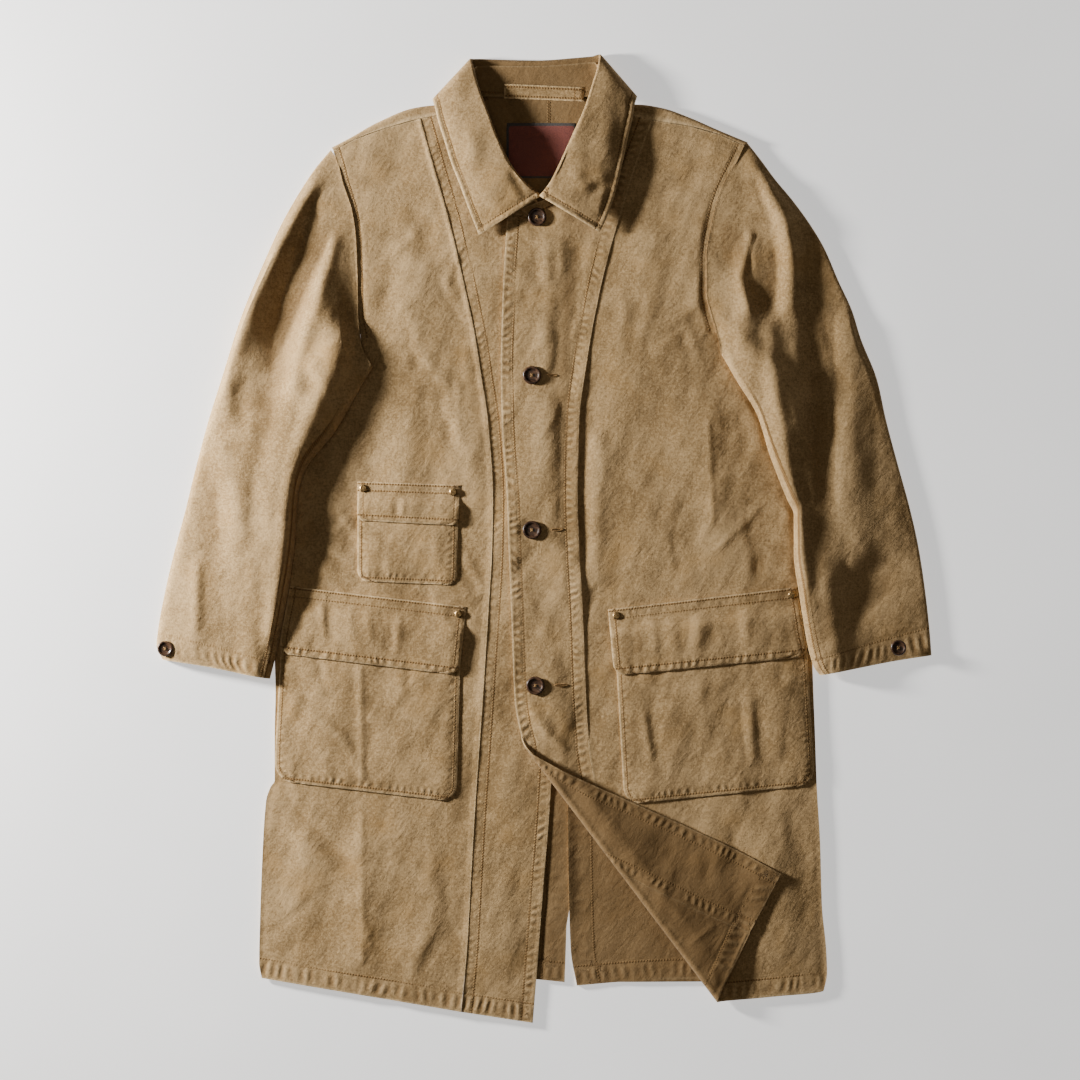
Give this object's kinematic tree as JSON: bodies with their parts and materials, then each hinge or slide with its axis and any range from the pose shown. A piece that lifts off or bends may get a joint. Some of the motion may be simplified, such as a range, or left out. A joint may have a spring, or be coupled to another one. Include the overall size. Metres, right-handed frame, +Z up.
{
  "type": "duster coat laid flat",
  "caption": "Long cotton canvas duster coat lying flat on its back, buttoned, with one lower front corner turned back over itself.",
  "frame": {"origin": "middle of the coat's outline, on the surface that it lies on", "axes": "+Y from the hem to the collar, +Z up from the surface, +X to the right as seen from above"},
  "size_m": [0.898, 1.1196, 0.0276],
  "materials": {
    "canvas": "washed tan cotton canvas",
    "label_cloth": "dark red woven label, bare",
    "horn": "dark brown horn",
    "brass": "aged brass"
  },
  "bodies": {
    "root": {"back_left": "canvas", "back_right": "canvas", "front_side_left": "canvas", "front_centre_left": "canvas", "front_centre_right": "canvas", "front_side_right": "canvas", "sleeve_left": "canvas", "sleeve_right": "canvas", "collar_fall": "canvas", "collar_stand": "canvas", "pocket_left": "canvas", "pocket_right": "canvas", "chest_pocket": "canvas", "flap_left": "canvas", "flap_right": "canvas", "chest_flap": "canvas", "hanger_loop": "canvas", "neck_label": "label_cloth", "front_button_1": "horn", "front_button_2": "horn", "front_button_3": "horn", "front_button_4": "horn", "cuff_button_left": "horn", "cuff_button_right": "horn", "chest_rivet_1": "brass", "chest_rivet_2": "brass", "left_rivet_1": "brass", "right_rivet_1": "brass", "right_rivet_2": "brass"}
  },
  "joints": []
}
